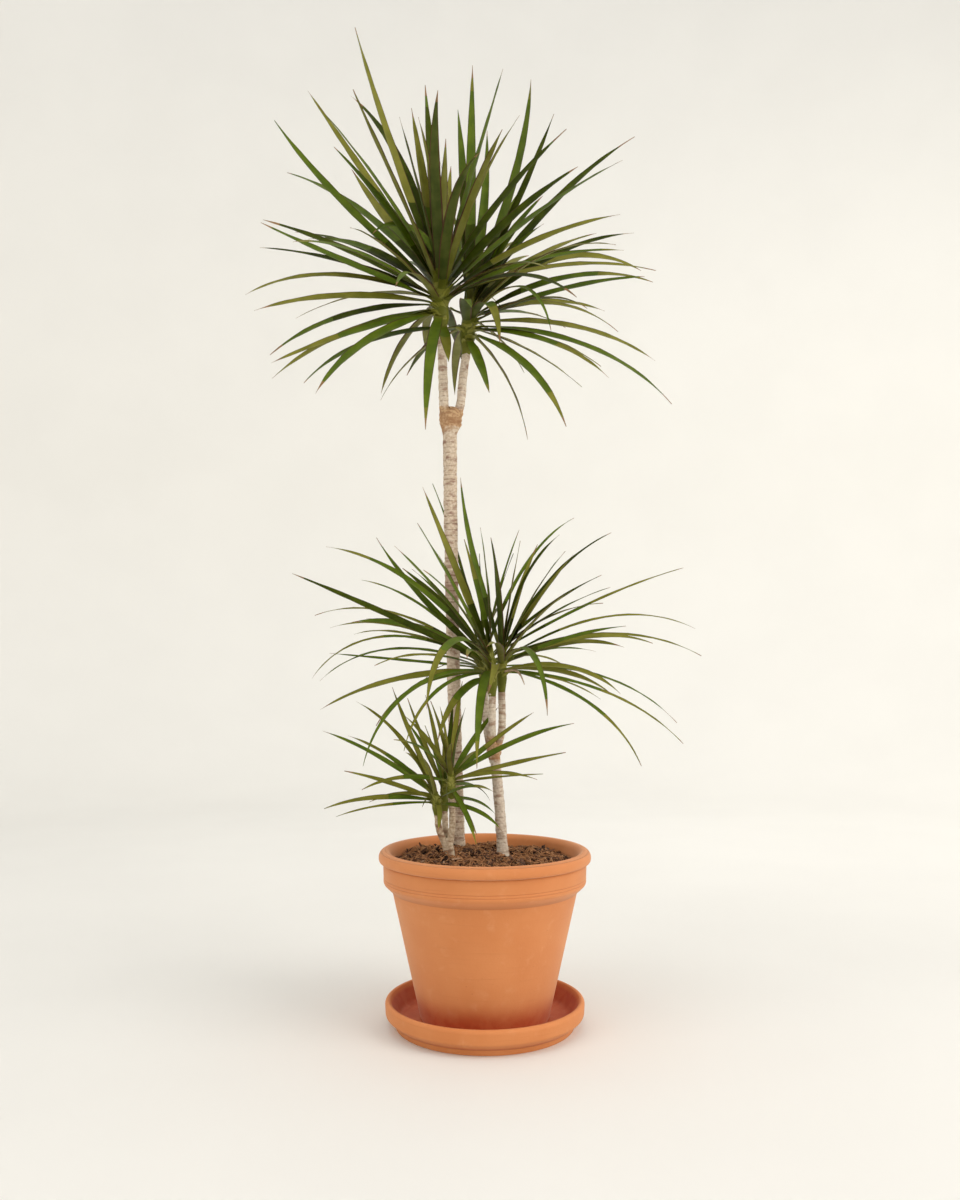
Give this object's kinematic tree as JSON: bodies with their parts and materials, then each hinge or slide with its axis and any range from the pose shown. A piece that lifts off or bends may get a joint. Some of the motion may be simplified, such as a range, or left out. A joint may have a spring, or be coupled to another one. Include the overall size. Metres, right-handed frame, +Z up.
{
  "type": "potted madagascar dragon tree",
  "caption": "Potted dragon tree: bare ringed canes of different heights fork into tufts of long narrow arching leaves, in a terracotta pot that stands in a round saucer.",
  "frame": {"origin": "centre of the saucer's flat underside, on the floor", "axes": "+Z up, +X to the viewer's right, +Y away from the viewer"},
  "size_m": [0.6003, 0.5431, 1.3326],
  "materials": {
    "terracotta": "unglazed, matt",
    "potting_mix": "loose bark and coir, matt",
    "cane_bark": "ringed bark, matt",
    "leaves": "smooth leaf, soft sheen"
  },
  "bodies": {
    "root": {"saucer": "terracotta", "pot": "terracotta", "soil": "potting_mix", "tall_cane": "cane_bark", "tall_left_branch": "cane_bark", "tall_right_branch": "cane_bark", "middle_cane": "cane_bark", "middle_front_branch": "cane_bark", "middle_right_branch": "cane_bark", "middle_back_branch": "cane_bark", "low_cane": "cane_bark", "low_left_branch": "cane_bark", "low_back_branch": "cane_bark", "low_right_branch": "cane_bark", "tall_left_leaves": "leaves", "tall_right_leaves": "leaves", "middle_front_leaves": "leaves", "middle_right_leaves": "leaves", "middle_back_leaves": "leaves", "low_left_leaves": "leaves", "low_back_leaves": "leaves", "low_right_leaves": "leaves"}
  },
  "joints": []
}
